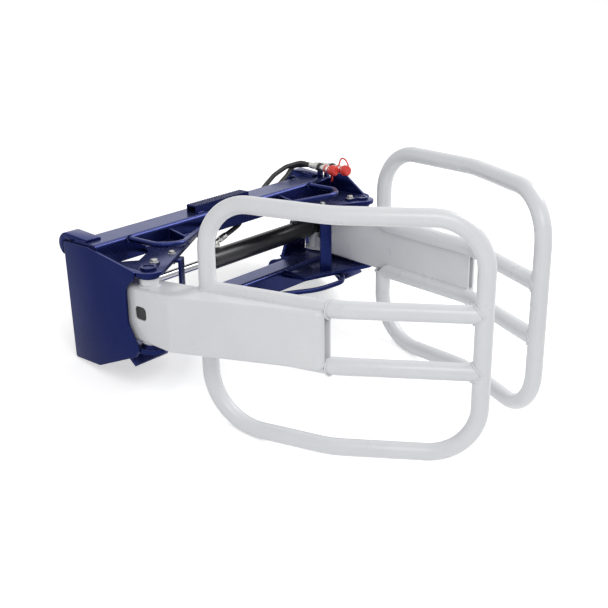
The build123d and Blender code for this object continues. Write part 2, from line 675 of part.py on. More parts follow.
# Port fittings and the hose tails that rise from them into the open side of the top beam
port_top = arm_middle + BARREL / 2 + 1.5 * BARREL_WALL
fitting_top = port_top + PORT_HEIGHT
elbow_corner = Vector(gland_port_x, PIN_BEHIND, fitting_top - 8.0)
elbow_aim = elbow_corner + Vector(92.0, 4.0, 22.0)
elbow_end = elbow_corner + (elbow_aim - elbow_corner) * 0.37
with BuildPart() as fittings:
    for port_x in (gland_port_x, cap_port_x):
        with Locations((port_x, PIN_BEHIND, port_top)):
            Cylinder(PORT / 2 - 1.0, PORT_HEIGHT / 2, align=(Align.CENTER, Align.CENTER, Align.MIN))
    with Locations((cap_port_x, PIN_BEHIND, port_top)):
        Cylinder(HOSE / 2, PORT_HEIGHT, align=(Align.CENTER, Align.CENTER, Align.MIN))
    elbow_foot = Vector(gland_port_x, PIN_BEHIND, port_top)
    add(tube_along([elbow_foot, elbow_corner, elbow_end], HOSE / 2 + 1.0, HOSE).part)
pieces["port_fittings"] = fittings.part
tail_rise = TAIL_REACH - fitting_top
TAIL_ONE = (
    # share of the run across, of the set-back and of the rise
    (0.70, 0.40, 0.26),
    (0.925, 0.80, 0.52),
    (1.0, 1.0, 1.0),
)
TAIL_TWO = (
    # share of the set-back and of the rise
    (0.0, 0.0),
    (0.0, 0.24),
    (1.0, 0.72),
    (1.0, 1.0),
)
tail_one = [elbow_end, elbow_aim]
for across, back, up in TAIL_ONE:
    tail_one.append((gland_port_x + across * TAIL_RUN, PIN_BEHIND + back * TAIL_BACK, fitting_top + up * tail_rise))
tail_two = [(cap_port_x, PIN_BEHIND + back * TAIL_BACK, fitting_top + up * tail_rise) for back, up in TAIL_TWO]
with BuildPart() as tails:
    add(tube_along(tail_one, (1.3 * tail_rise, 1.09 * tail_rise, 0.65 * tail_rise), HOSE).part)
    add(tube_along(tail_two, (0.49 * tail_rise, 0.49 * tail_rise), HOSE).part)
pieces["hose_tails"] = tails.part

# Couplings in their clamps on the far end of the top beam, their dust caps and their hoses
turn = radians(COUPLING_TURN)
coupling_z = TOP_BEAM_TOP + COUPLING_RISE
nose_plane = {}
HOLDER_OUTLINE = (
    # y, z of the plate against the end plate
    (10.0, WELD_GAP),
    (110.0, 74.0),
    (TOP_BEAM_FRONT - 1.0, 80.0),
    (TOP_BEAM_FRONT - 1.0, WELD_GAP),
)
with BuildPart() as holder:
    with BuildSketch(Plane.YZ.offset(plate_face)):
        with BuildLine():
            Polyline(*HOLDER_OUTLINE, close=True)
        make_face()
    extrude(amount=-CLAMP_PLATE)
    for name, outward, clamp_y, ahead in COUPLING_TABLE:
        x = PIVOT_X + outward
        nose = (x - ahead * sin(turn), clamp_y - ahead * cos(turn), coupling_z)
        nose_plane[name] = Plane(origin=nose, x_dir=(0, 0, 1), z_dir=(sin(turn), cos(turn), 0))
        with Locations((x, clamp_y, TOP_BEAM_TOP)):
            Box(CLAMP_WIDTH, CLAMP_PLATE, COUPLING_RISE, align=(Align.CENTER, Align.CENTER, Align.MIN))
        with BuildSketch(nose_plane[name]):
            Circle(COUPLING / 2 + WELD_GAP)
        extrude(amount=2 * COUPLING_LENGTH, mode=Mode.SUBTRACT)
pieces["coupling_holder"] = holder.part
with BuildPart() as couplings:
    for name, *_ in COUPLING_TABLE:
        with BuildSketch(nose_plane[name].offset(CAP_DEPTH)):
            Circle(COUPLING / 2)
        extrude(amount=COUPLING_LENGTH - CAP_DEPTH)
pieces["couplings"] = couplings.part
with BuildPart() as caps:
    for name, *_ in COUPLING_TABLE:
        with BuildSketch(nose_plane[name]):
            Circle(CAP_DIAMETER / 2)
        extrude(amount=CAP_DEPTH)
pieces["dust_caps"] = caps.part

HOSE_ROUTES = {
    # places along each hose: outward of the pivot, y, z and bend radius
    "one": (
        (-229.0, 292.0, slot_z, 0.0),
        (-227.0, 334.0, slot_z, 22.0),
        (-190.0, 354.0, slot_z + 6.0, 60.0),
        (-123.0, 354.0, slot_z + 44.0, 90.0),
        (-57.0, 346.0, coupling_z - 3.0, 90.0),
        (10.0, 320.0, coupling_z + 7.0, 26.0),
    ),
    "two": (
        (-199.0, 292.0, slot_z, 0.0),
        (-196.0, 331.0, slot_z, 18.0),
        (-117.0, 331.0, slot_z + 8.0, 90.0),
        (-58.0, 338.0, slot_z + 34.0, 90.0),
        (-8.0, 348.0, slot_z + 64.0, 40.0),
        (41.0, 316.0, coupling_z - 8.0, 34.0),
    ),
}
hose_lead = 28.0
lead_radius = 20.0
with BuildPart() as hoses:
    for name, places in HOSE_ROUTES.items():
        tail = nose_plane[name].offset(COUPLING_LENGTH)
        route = [(PIVOT_X + outward, y, z) for outward, y, z, _ in places]
        route += [tail.origin + tail.z_dir * hose_lead, tail.origin]
        add(tube_along(route, [r for *_, r in places[1:]] + [lead_radius], HOSE).part)
pieces["hoses"] = hoses.part

# Parking: the floor touches the hitch eyes and the rear bottom bends of both hoops
bend_y = -BACK_TUBE[1] - REST_CORNER * cos(toe_in)
bend_z = HOOP_BOTTOM + REST_CORNER
bend_radius = REST_CORNER + TUBE / 2
reach = hypot(EYE_Y - bend_y, bend_z - eye_z)
rise = atan2(bend_z - eye_z, EYE_Y - bend_y)
PARK_TILT = degrees(asin((bend_radius - EYE_RADIUS) / reach) - rise)
laid_back = Location((0, 0, 0), (-PARK_TILT, 0, 0))
lean = radians(PARK_TILT)
floor = -EYE_Y * sin(lean) + eye_z * cos(lean) - EYE_RADIUS
laid = Compound(children=[piece.moved(laid_back) for piece in pieces.values()]).bounding_box()
PARK = Location((0, -(laid.min.Y + laid.max.Y) / 2, -floor)) * laid_back

os.makedirs("parts", exist_ok=True)
for name, piece in pieces.items():
    parked = piece.moved(PARK)
    parked.label = name
    export_step(parked, f"parts/{name}.step")

print("tilt", round(PARK_TILT, 4), "shift", PARK.position)
print("box", laid.size)
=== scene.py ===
"""Dresses the bale grabber: paint, chrome, rubber, welds, bolts, fittings and hose ends.

Places are in millimetres in the grabber's working axes, as it hangs on a loader: X across with the
near end at -X, the arms pointing along -Y and Z up from the top of the upper lugs, all measured from
midway between the arm pivots. Each finished piece is laid back with the parked grabber.
"""
import json
import math

import bpy
from mathutils import Matrix, Vector


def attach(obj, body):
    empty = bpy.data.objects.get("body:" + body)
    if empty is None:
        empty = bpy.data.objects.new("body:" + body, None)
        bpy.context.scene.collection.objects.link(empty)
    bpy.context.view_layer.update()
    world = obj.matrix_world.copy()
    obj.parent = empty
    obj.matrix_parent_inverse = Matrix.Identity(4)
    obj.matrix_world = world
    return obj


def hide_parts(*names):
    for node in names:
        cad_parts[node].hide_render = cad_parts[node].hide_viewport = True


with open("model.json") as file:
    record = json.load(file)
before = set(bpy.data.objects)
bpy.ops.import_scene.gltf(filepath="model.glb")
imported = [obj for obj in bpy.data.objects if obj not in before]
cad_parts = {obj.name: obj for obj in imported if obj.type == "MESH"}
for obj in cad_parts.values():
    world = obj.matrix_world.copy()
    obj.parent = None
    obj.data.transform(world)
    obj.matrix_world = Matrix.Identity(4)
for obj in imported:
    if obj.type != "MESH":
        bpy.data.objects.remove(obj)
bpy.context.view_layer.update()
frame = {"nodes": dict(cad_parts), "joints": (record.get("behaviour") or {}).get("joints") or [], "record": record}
nodes = frame["nodes"]
MM = 0.001

# The far arm's pivot axis says how far the parked grabber leans back and where it stands
PIVOT_PLACE = (587.0, 0.0, -140.0)
pivot = next(joint for joint in frame["joints"] if joint["name"] == "far_arm_swing")
lean_back = math.atan2(pivot["axis"][1], pivot["axis"][2])
parked_turn = Matrix.Rotation(-lean_back, 4, "X")
parked_shift = Vector(pivot["pos_m"]) - parked_turn @ (Vector(PIVOT_PLACE) * MM)
PARKED = Matrix.Translation(parked_shift) @ parked_turn


# Shared paint and metal effects
def effect_group(name, inputs, outputs):
    """Empty shader group with its input and output nodes."""
    group = bpy.data.node_groups.new(name, "ShaderNodeTree")
    for label, kind, value in inputs:
        socket = group.interface.new_socket(label, in_out="INPUT", socket_type=kind)
        socket.default_value = value
    for label, kind in outputs:
        group.interface.new_socket(label, in_out="OUTPUT", socket_type=kind)
    return group, group.nodes.new("NodeGroupInput"), group.nodes.new("NodeGroupOutput")


def feed(tree, value, socket):
    """Links a node's output to a socket, or sets the socket to a plain value."""
    if hasattr(value, "is_linked"):
        tree.links.new(value, socket)
    else:
        socket.default_value = value


def noise(tree, coordinates, scale, detail, roughness=0.5):
    """Noise texture on object coordinates."""
    node = tree.nodes.new("ShaderNodeTexNoise")
    node.inputs["Detail"].default_value = detail
    node.inputs["Roughness"].default_value = roughness
    tree.links.new(coordinates, node.inputs["Vector"])
    feed(tree, scale, node.inputs["Scale"])
    return node.outputs["Fac"]


NOISE_MIDDLE = (0.3, 0.7)


def spread(tree, value, low, high):
    """Maps the middle of a noise to a range."""
    node = tree.nodes.new("ShaderNodeMapRange")
    node.inputs["From Min"].default_value, node.inputs["From Max"].default_value = NOISE_MIDDLE
    feed(tree, low, node.inputs["To Min"])
    feed(tree, high, node.inputs["To Max"])
    tree.links.new(value, node.inputs["Value"])
    return node.outputs["Result"]


# The colour sockets of a Mix node share their names with its others, so they are found by number
MIX_FIRST, MIX_SECOND, MIX_RESULT = 6, 7, 2


def blend_colours(tree, factor, first, second):
    """Mix of two colours by a mask."""
    node = tree.nodes.new("ShaderNodeMix")
    node.data_type = "RGBA"
    tree.links.new(factor, node.inputs["Factor"])
    feed(tree, first, node.inputs[MIX_FIRST])
    feed(tree, second, node.inputs[MIX_SECOND])
    return node.outputs[MIX_RESULT]


CLOUD_SCALE = 7.0
GLOSS_SCALE = 16.0
PEEL_SCALE = 260.0


def make_paint_film():
    """Sprayed paint: faint cloudiness, uneven gloss and fine orange peel."""
    group, inside, outside = effect_group(
        "paint_film",
        (
            ("Paint", "NodeSocketColor", (0.5, 0.5, 0.5, 1)),
            ("Shade", "NodeSocketColor", (0.4, 0.4, 0.4, 1)),
            ("Gloss Low", "NodeSocketFloat", 0.2),
            ("Gloss High", "NodeSocketFloat", 0.32),
        ),
        (("Color", "NodeSocketColor"), ("Roughness", "NodeSocketFloat"), ("Peel", "NodeSocketFloat")),
    )
    place = group.nodes.new("ShaderNodeTexCoord").outputs["Object"]
    cloud = spread(group, noise(group, place, CLOUD_SCALE, detail=4.0), 0.0, 1.0)
    colour = blend_colours(group, cloud, inside.outputs["Paint"], inside.outputs["Shade"])
    haze = noise(group, place, GLOSS_SCALE, detail=5.0)
    gloss = spread(group, haze, inside.outputs["Gloss Low"], inside.outputs["Gloss High"])
    group.links.new(colour, outside.inputs["Color"])
    group.links.new(gloss, outside.inputs["Roughness"])
    group.links.new(noise(group, place, PEEL_SCALE, detail=2.0), outside.inputs["Peel"])
    return group


def make_metal_grain():
    """Plated or ground metal: fine mottling of tint and gloss."""
    group, inside, outside = effect_group(
        "metal_grain",
        (
            ("Bright", "NodeSocketColor", (0.7, 0.7, 0.7, 1)),
            ("Dull", "NodeSocketColor", (0.5, 0.5, 0.5, 1)),
            ("Gloss Low", "NodeSocketFloat", 0.15),
            ("Gloss High", "NodeSocketFloat", 0.35),
            ("Scale", "NodeSocketFloat", 60.0),
        ),
        (("Color", "NodeSocketColor"), ("Roughness", "NodeSocketFloat")),
    )
    place = group.nodes.new("ShaderNodeTexCoord").outputs["Object"]
    mottle = noise(group, place, inside.outputs["Scale"], detail=4.0, roughness=0.6)
    dulled = spread(group, mottle, 0.0, 1.0)
    colour = blend_colours(group, dulled, inside.outputs["Bright"], inside.outputs["Dull"])
    gloss = spread(group, mottle, inside.outputs["Gloss Low"], inside.outputs["Gloss High"])
    group.links.new(colour, outside.inputs["Color"])
    group.links.new(gloss, outside.inputs["Roughness"])
    return group


paint_film = make_paint_film()
metal_grain = make_metal_grain()


def finish(name, **plain):
    """Material with its shader, ready for a group; plain gives the shader's constant values."""
    material = bpy.data.materials.new(name)
    material.use_nodes = True
    shader = material.node_tree.nodes["Principled BSDF"]
    for label, value in plain.items():
        shader.inputs[label.replace("_", " ")].default_value = value
    return material, material.node_tree, shader


def placed_group(tree, group, **values):
    """The group as a node of a material, with that material's own values."""
    node = tree.nodes.new("ShaderNodeGroup")
    node.node_tree = group
    for label, value in values.items():
        node.inputs[label.replace("_", " ")].default_value = value
    return node


# How far up a face looks where the painted light from above starts, and where it is full
TOP_LIGHT_START = 0.55
TOP_LIGHT_FULL = 0.95


def painted_top_light(tree, colour, top_light_colour):
    """Paint colour with painted light: a paler colour on faces that look up, standing in for light from above."""
    facing = tree.nodes.new("ShaderNodeSeparateXYZ")
    tree.links.new(tree.nodes.new("ShaderNodeTexCoord").outputs["Normal"], facing.inputs["Vector"])
    upward = tree.nodes.new("ShaderNodeMapRange")
    upward.interpolation_type = "SMOOTHSTEP"
    upward.inputs["From Min"].default_value = TOP_LIGHT_START
    upward.inputs["From Max"].default_value = TOP_LIGHT_FULL
    tree.links.new(facing.outputs["Z"], upward.inputs["Value"])
    return blend_colours(tree, upward.outputs["Result"], colour, (*top_light_colour, 1))


PEEL_DEPTH = 0.0004
COAT_ROUGHNESS = 0.08
PAINT_IOR = 1.5


def gloss_paint(name, paint, shade, gloss, peel, coat=0.0, flake=0.0, shine=0.5, top_light_colour=None):
    """Painted steel, plastic or rubber, with a share of metal flake and painted light: paler upward faces."""
    material, tree, shader = finish(
        name,
        Coat_Weight=coat,
        Coat_Roughness=COAT_ROUGHNESS,
        IOR=PAINT_IOR,
        Metallic=flake,
        Specular_IOR_Level=shine,
    )
    film = placed_group(
        tree, paint_film, Paint=(*paint, 1), Shade=(*shade, 1), Gloss_Low=gloss[0], Gloss_High=gloss[1]
    )
    bump = tree.nodes.new("ShaderNodeBump")
    bump.inputs["Strength"].default_value = peel
    bump.inputs["Distance"].default_value = PEEL_DEPTH
    tree.links.new(film.outputs["Peel"], bump.inputs["Height"])
    colour = film.outputs["Color"]
    # Painted light: upward faces get a paler colour, standing in for light from above
    if top_light_colour:
        colour = painted_top_light(tree, colour, top_light_colour)
    tree.links.new(colour, shader.inputs["Base Color"])
    tree.links.new(film.outputs["Roughness"], shader.inputs["Roughness"])
    tree.links.new(bump.outputs["Normal"], shader.inputs["Normal"])
    return material


def bare_metal(name, bright, dull, gloss, scale):
    """Chromed or zinc-plated steel."""
    material, tree, shader = finish(name, Metallic=1.0)
    grain = placed_group(
        tree,
        metal_grain,
        Bright=(*bright, 1),
        Dull=(*dull, 1),
        Gloss_Low=gloss[0],
        Gloss_High=gloss[1],
        Scale=scale,
    )
    tree.links.new(grain.outputs["Color"], shader.inputs["Base Color"])
    tree.links.new(grain.outputs["Roughness"], shader.inputs["Roughness"])
    return material


navy_paint = gloss_paint(
    "navy_paint",
    paint=(0.011, 0.018, 0.094),
    shade=(0.0095, 0.0155, 0.084),
    gloss=(0.24, 0.3),
    peel=0.008,
    flake=0.72,
    shine=0.1,
    # Painted light: paler navy on upward faces, standing in for light from above
    top_light_colour=(0.064, 0.077, 0.225),
)
white_paint = gloss_paint(
    "white_paint", paint=(0.83, 0.84, 0.86), shade=(0.79, 0.8, 0.83), gloss=(0.26, 0.38), peel=0.05, coat=0.25
)
black_paint = gloss_paint(
    "black_paint",
    paint=(0.02, 0.02, 0.023),
    shade=(0.014, 0.014, 0.016),
    gloss=(0.3, 0.38),
    peel=0.03,
    coat=0.08,
)
red_plastic = gloss_paint(
    "red_plastic", paint=(0.85, 0.06, 0.045), shade=(0.76, 0.045, 0.035), gloss=(0.3, 0.42), peel=0.1
)
hose_rubber = gloss_paint(
    "hose_rubber", paint=(0.014, 0.014, 0.015), shade=(0.022, 0.022, 0.023), gloss=(0.4, 0.58), peel=0.3
)
rod_chrome = bare_metal(
    "rod_chrome", bright=(0.46, 0.46, 0.48), dull=(0.4, 0.4, 0.42), gloss=(0.08, 0.16), scale=30.0
)
zinc_plate = bare_metal(
    "zinc_plate", bright=(0.68, 0.68, 0.66), dull=(0.52, 0.52, 0.49), gloss=(0.24, 0.42), scale=90.0
)

SLOT_FINISH = {
    "frame_paint": navy_paint,
    "arm_paint": white_paint,
    "cylinder_paint": black_paint,
    "rod_chrome": rod_chrome,
    "zinc_steel": zinc_plate,
    "red_plastic": red_plastic,
    "hose_rubber": hose_rubber,
}
for subpart in frame["record"]["subparts"]:
    node = nodes[subpart["node"]]
    node.data.materials.clear()
    node.data.materials.append(SLOT_FINISH[subpart["material_slot"]])
bpy.ops.object.select_all(action="DESELECT")


# Modelled pieces: sizes of the frame and arms that they sit on
SIDES = (("near", -1.0), ("far", 1.0))
SIDEWAYS, UP, DOWN = (1, 0, 0), (0, 0, 1), (0, 0, -1)
PIVOT_X = 587.0
BEAM_FRONT = 190.0
BEAM_TOP = 58.0
BEAM_UNDER = -22.0
BEAM_BACK = 308.0
PLATE_FACE = 640.0
LOW_BEAM_FRONT = 157.0
LOW_BEAM_BACK = 257.0
LUG_UNDER = -15.0
LOW_LUG_TOP = -265.0
LOW_LUG_UNDER = -280.0
ARM_TOP = -53.0
ARM_BOTTOM = -245.0
ARM_MIDDLE = (ARM_TOP + ARM_BOTTOM) / 2
TUBE_RADIUS = 28.5
BACK_TUBE = (91.0, 175.0)
BEND = (174.0, 610.0)
FRONT_TUBE = (410.0, 1006.0)
CROSS_LEVELS = (ARM_TOP - 3.0, ARM_BOTTOM + 3.0)
CYLINDER_Y = 245.0
BARREL_RADIUS = 38.0
TOE_IN = (BEND[0] - BACK_TUBE[0]) / (BEND[1] - BACK_TUBE[1])


def wall_inward(forward):
    """Distance inward from the pivot of the arm's inner wall at a forward place."""
    return BACK_TUBE[0] + (forward - BACK_TUBE[1]) * TOE_IN


def spot(side, plan, height):
    """Place of a point of one arm from its inward and forward distances."""
    return (side * (PIVOT_X - plan[0]), -plan[1], height)


def edit(piece):
    """Opens a piece in edit mode with nothing selected."""
    bpy.context.view_layer.objects.active = piece
    bpy.ops.object.mode_set(mode="EDIT")
    bpy.ops.mesh.select_mode(type="FACE")
    bpy.ops.mesh.select_all(action="DESELECT")


def pick(piece, kind, wanted):
    """Selects the edges or vertices of a piece in edit mode that pass a test."""
    bpy.ops.mesh.select_mode(type={"edges": "EDGE", "vertices": "VERT"}[kind])
    bpy.ops.object.mode_set(mode="OBJECT")
    for face in piece.data.polygons:
        face.select = False
    for line in piece.data.edges:
        line.select = False
    for point in piece.data.vertices:
        point.select = False
    for part in getattr(piece.data, kind):
        part.select = wanted(part)
    bpy.ops.object.mode_set(mode="EDIT")


MERGE_GAP = 0.01
SMOOTH_BELOW = 35.0


def close_up(piece, angle=SMOOTH_BELOW):
    """Leaves edit mode with faces outwards and smooth shading below an angle."""
    bpy.ops.object.mode_set(mode="EDIT")
    bpy.ops.mesh.select_all(action="SELECT")
    bpy.ops.mesh.remove_doubles(threshold=MERGE_GAP * MM)
    bpy.ops.mesh.normals_make_consistent(inside=False)
    bpy.ops.object.mode_set(mode="OBJECT")
    bpy.ops.object.select_all(action="DESELECT")
    piece.select_set(True)
    bpy.context.view_layer.objects.active = piece
    bpy.ops.object.shade_smooth_by_angle(angle=math.radians(angle))


def stand(piece, foot, aim):
    """Puts a piece modelled along Z on its foot, turned to its aim."""
    turn = Vector(aim).to_track_quat("Z", "Y").to_matrix().to_4x4()
    piece.matrix_world = Matrix.Translation(Vector(foot) * MM) @ turn


def settle(name, pieces, body, slot):
    """Joins pieces of one finish, lays them back with the parked grabber and hands them to a body."""
    bpy.ops.object.select_all(action="DESELECT")
    for piece in pieces:
        piece.select_set(True)
    bpy.context.view_layer.objects.active = pieces[0]
    if len(pieces) > 1:
        bpy.ops.object.join()
    whole = bpy.context.object
    whole.name = name
    whole.data.name = name
    whole.matrix_world = PARKED @ whole.matrix_world
    bpy.ops.object.transform_apply(location=True, rotation=True, scale=True)
    whole.data.materials.clear()
    whole.data.materials.append(SLOT_FINISH[slot])
    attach(whole, body)
    bpy.ops.object.select_all(action="DESELECT")
    return whole


def turned(foot, aim, first, steps, sides=36):
    """Lathe-turned piece: a disc drawn out step by step to new radii along its aim."""
    bpy.ops.object.select_all(action="DESELECT")
    bpy.ops.mesh.primitive_circle_add(vertices=sides, radius=first * MM, fill_type="NGON")
    piece = bpy.context.object
    radius, height = first, 0.0
    edit(piece)
    bpy.ops.mesh.select_all(action="SELECT")
    for advance, wide in steps:
        height += advance
        bpy.ops.mesh.extrude_region_move(TRANSFORM_OT_translate={"value": (0, 0, advance * MM)})
        share = wide / radius
        bpy.ops.transform.resize(value=(share, share, 1), center_override=(0, 0, height * MM))
        radius = wide
    close_up(piece)
    stand(piece, foot, aim)
    return piece


def hexagon(foot, aim, flats, height, chamfer=1.2):
    """Six-sided nut or bolt head with softened corners."""
    bpy.ops.object.select_all(action="DESELECT")
    bpy.ops.mesh.primitive_cylinder_add(
        vertices=6, radius=flats / math.sqrt(3) * MM, depth=height * MM, location=(0, 0, height / 2 * MM)
    )
    piece = bpy.context.object
    bpy.ops.object.transform_apply(location=True, rotation=False, scale=False)
    edit(piece)
    pick(piece, "edges", lambda line: True)
    bpy.ops.mesh.bevel(offset=chamfer * MM, segments=2, affect="EDGES")
    close_up(piece)
    stand(piece, foot, aim)
    return piece


WASHER_THICK = 2.7


def bolt_head(foot, aim, flats=22.0, height=9.0):
    """Hex bolt head on its washer, with a low dome on top."""
    up = Vector(aim).normalized()
    seat = Vector(foot) + up * WASHER_THICK
    washer_face, washer_rim = flats * 0.66, flats * 0.7
    dome_foot, dome_edge, dome_top = flats * 0.36, flats * 0.35, flats * 0.28
    washer = turned(foot, aim, washer_face, ((0.6, washer_rim), (1.6, washer_rim), (0.5, washer_face)))
    head = hexagon(seat, aim, flats, height)
    dome = turned(seat + up * height, aim, dome_foot, ((0.5, dome_edge), (0.6, dome_top)), 24)
    return [washer, head, dome]


LINE_SMOOTH_BELOW = 60.0


def drawn_line(paths, thickness, resolution=2):
    """Round-sectioned lines through places, each place with its share of the thickness, as one mesh."""
    bpy.ops.object.select_all(action="DESELECT")
    bpy.ops.curve.primitive_nurbs_path_add()
    line = bpy.context.object
    line.data.splines.clear()
    line.data.dimensions = "3D"
    line.data.bevel_depth = thickness * MM
    line.data.bevel_resolution = resolution
    line.data.use_fill_caps = True
    for path in paths:
        spline = line.data.splines.new("POLY")
        spline.points.add(len(path) - 1)
        for point, (place, share) in zip(spline.points, path):
            point.co = (*(Vector(place) * MM), 1)
            point.radius = share
    bpy.ops.object.convert(target="MESH")
    piece = bpy.context.object
    close_up(piece, LINE_SMOOTH_BELOW)
    return piece


RIPPLE = 5.0
RIPPLE_THIN = 0.8


def weld_path(places):
    """Places every half ripple along a run, thick and thin in turn like a laid bead."""
    marks = [Vector(place) for place in places]
    path = []
    for start, end in zip(marks, marks[1:]):
        count = max(2, int((end - start).length / (RIPPLE / 2)))
        path += [(start.lerp(end, step / count), RIPPLE_THIN if step % 2 else 1.0) for step in range(count)]
    return path + [(marks[-1], RIPPLE_THIN)]


RING_STEP = 9.0


def ring(centre, radius, across=(1, 0, 0), up=(0, 1, 0), start=0.0, end=360.0):
    """Places round a circle, or part of one, spanned by two directions."""
    count = max(8, int(abs(end - start) / RING_STEP))
    turns = [math.radians(start + (end - start) * step / count) for step in range(count + 1)]
    middle, across, up = Vector(centre), Vector(across), Vector(up)
    return [middle + (across * math.cos(turn) + up * math.sin(turn)) * radius for turn in turns]


# White shell of each arm: a folded box with soft edges, and the two ears that hold the cylinder's pin
ROOT_END = -185.0
ROOT_OUTER = -42.0
BOX_FRONT = 608.0
PANEL_START = 178.0
PANEL_STEP = 150.0
PANEL_PLATE = 3.0
TUBE_SEAT = TUBE_RADIUS + 0.6
FOLD_RADIUS = 15.0
FOLD_SEGMENTS = 5
BOX_SMOOTH_BELOW = 32.0
EAR_PLATE = 8.0
EAR_LAP = 0.5
EAR_INNER = 4.0
NOSE_RADIUS = 38.0
PIN_PLAN = (-3.0, -245.0)
PIN_BORE = 15.2
BORE_BELOW = 4.0
BORE_LENGTH = 20.0
GREASE_HOLE_PLACE = (-43.0, -3.0)
GREASE_HOLE_LEVEL = ARM_TOP - 88.0
GREASE_HOLE_SIZE = (60.0, 54.0, 46.0)
GREASE_HOLE_CORNER = 15.0
PLUG_INWARD = 7.0
PLUG_SIZE = (9.0, 53.0, 45.0)
PLUG_CORNER = 4.0
BOX_OUTLINE = (
    # inward and forward of the pivot, set-back of the fold on either side of the corner
    (ROOT_OUTER, ROOT_END, 0.0),
    (-43.0, 0.0, 16.0),
    (-55.0, 135.0, 8.0),
    (120.0, BOX_FRONT, 17.0),
    (wall_inward(BOX_FRONT) - TUBE_SEAT, BOX_FRONT, 0.0),
    (wall_inward(PANEL_START) - TUBE_SEAT, PANEL_START, 0.0),
    (wall_inward(PANEL_STEP) - PANEL_PLATE, PANEL_STEP, 0.0),
    (wall_inward(ROOT_END) - PANEL_PLATE, ROOT_END, 0.0),
)


def flat_plate(outline, level):
    """Flat face of a given outline at its level."""
    bpy.ops.object.select_all(action="DESELECT")
    bpy.ops.mesh.primitive_circle_add(vertices=len(outline), fill_type="NGON")
    plate = bpy.context.object
    for point, place in zip(plate.data.vertices, outline):
        point.co = Vector((place[0], place[1], level)) * MM
    return plate


def draw_up(plate, thickness):
    """Gives a flat outline its thickness."""
    edit(plate)
    bpy.ops.mesh.select_all(action="SELECT")
    bpy.ops.mesh.extrude_region_move(TRANSFORM_OT_translate={"value": (0, 0, thickness * MM)})
    bpy.ops.mesh.select_all(action="SELECT")
    bpy.ops.mesh.normals_make_consistent(inside=False)


def cut_out(piece, cutter):
    """Cuts one piece out of another."""
    bpy.ops.object.select_all(action="DESELECT")
    piece.select_set(True)
    bpy.context.view_layer.objects.active = piece
    hole = piece.modifiers.new("hole", "BOOLEAN")
    hole.operation = "DIFFERENCE"
    hole.object = cutter
    bpy.ops.object.modifier_apply(modifier=hole.name)
    bpy.data.objects.remove(cutter)


def soft_block(centre, size, corner, segments=4):
    """Block with all its edges rounded."""
    bpy.ops.object.select_all(action="DESELECT")
    bpy.ops.mesh.primitive_cube_add(size=1.0)
    block = bpy.context.object
    block.scale = Vector(size) * MM
    bpy.ops.object.transform_apply(location=False, rotation=False, scale=True)
    edit(block)
    pick(block, "edges", lambda line: True)
    bpy.ops.mesh.bevel(offset=corner * MM, segments=segments, affect="EDGES")
    close_up(block)
    block.location = Vector(centre) * MM
    bpy.ops.object.transform_apply(location=True, rotation=False, scale=False)
    return block


def arm_box(side):
    """The folded box between the pivot and the cross tubes."""
    outline = [spot(side, (inward, forward), 0.0) for inward, forward, _ in BOX_OUTLINE]
    box = flat_plate(outline, ARM_BOTTOM)
    for inward, forward, set_back in BOX_OUTLINE:
        if set_back:
            corner = Vector(spot(side, (inward, forward), ARM_BOTTOM)) * MM
            edit(box)
            pick(box, "vertices", lambda point: (point.co - corner).length < 0.5 * MM)
            bpy.ops.mesh.bevel(offset=set_back * MM, segments=FOLD_SEGMENTS, affect="VERTICES")
            bpy.ops.object.mode_set(mode="OBJECT")
    draw_up(box, ARM_TOP - ARM_BOTTOM)
    bpy.ops.object.mode_set(mode="OBJECT")
    sides = {}
    for face in box.data.polygons:
        if abs(face.normal.z) < 0.5:
            for key in face.edge_keys:
                sides.setdefault(tuple(sorted(key)), []).append(face.normal.copy())

    def on_outer_fold(line):
        """Level edges of the outer wall and of the front end."""
        first, second = [box.data.vertices[i].co for i in line.vertices]
        if abs(first.z - second.z) > MERGE_GAP * MM:
            return False
        normal = sides[tuple(sorted(line.vertices))][0]
        looks_outward = normal.x * side > 0.3
        looks_forward = normal.y < -0.6
        return looks_outward or looks_forward

    edit(box)
    pick(box, "edges", on_outer_fold)
    bpy.ops.mesh.bevel(offset=FOLD_RADIUS * MM, segments=FOLD_SEGMENTS, affect="EDGES")
    close_up(box, BOX_SMOOTH_BELOW)
    hole_place = spot(side, GREASE_HOLE_PLACE, GREASE_HOLE_LEVEL)
    cut_out(box, soft_block(hole_place, GREASE_HOLE_SIZE, GREASE_HOLE_CORNER))
    close_up(box, BOX_SMOOTH_BELOW)
    return box


def arm_ear(side, level):
    """Ear of the arm's root with a round nose and the bore for the cylinder's pin."""
    nose = spot(side, PIN_PLAN, level)
    round_nose = ring(nose, NOSE_RADIUS, (side, 0, 0), (0, 1, 0), 0.0, 180.0)
    foot = [
        Vector(spot(side, (wall_inward(ROOT_END) + EAR_INNER, ROOT_END - EAR_LAP), level)),
        Vector(spot(side, (ROOT_OUTER, ROOT_END - EAR_LAP), level)),
    ]
    ear = flat_plate([*round_nose, *foot], level)
    draw_up(ear, EAR_PLATE)
    close_up(ear)
    bore_foot = Vector(nose) - Vector((0, 0, BORE_BELOW))
    pin_bore = turned(bore_foot, UP, PIN_BORE, ((BORE_LENGTH, PIN_BORE),))
    bpy.ops.object.select_all(action="DESELECT")
    pin_bore.select_set(True)
    bpy.context.view_layer.objects.active = pin_bore
    bpy.ops.object.transform_apply(location=True, rotation=True, scale=True)
    cut_out(ear, pin_bore)
    close_up(ear)
    return ear


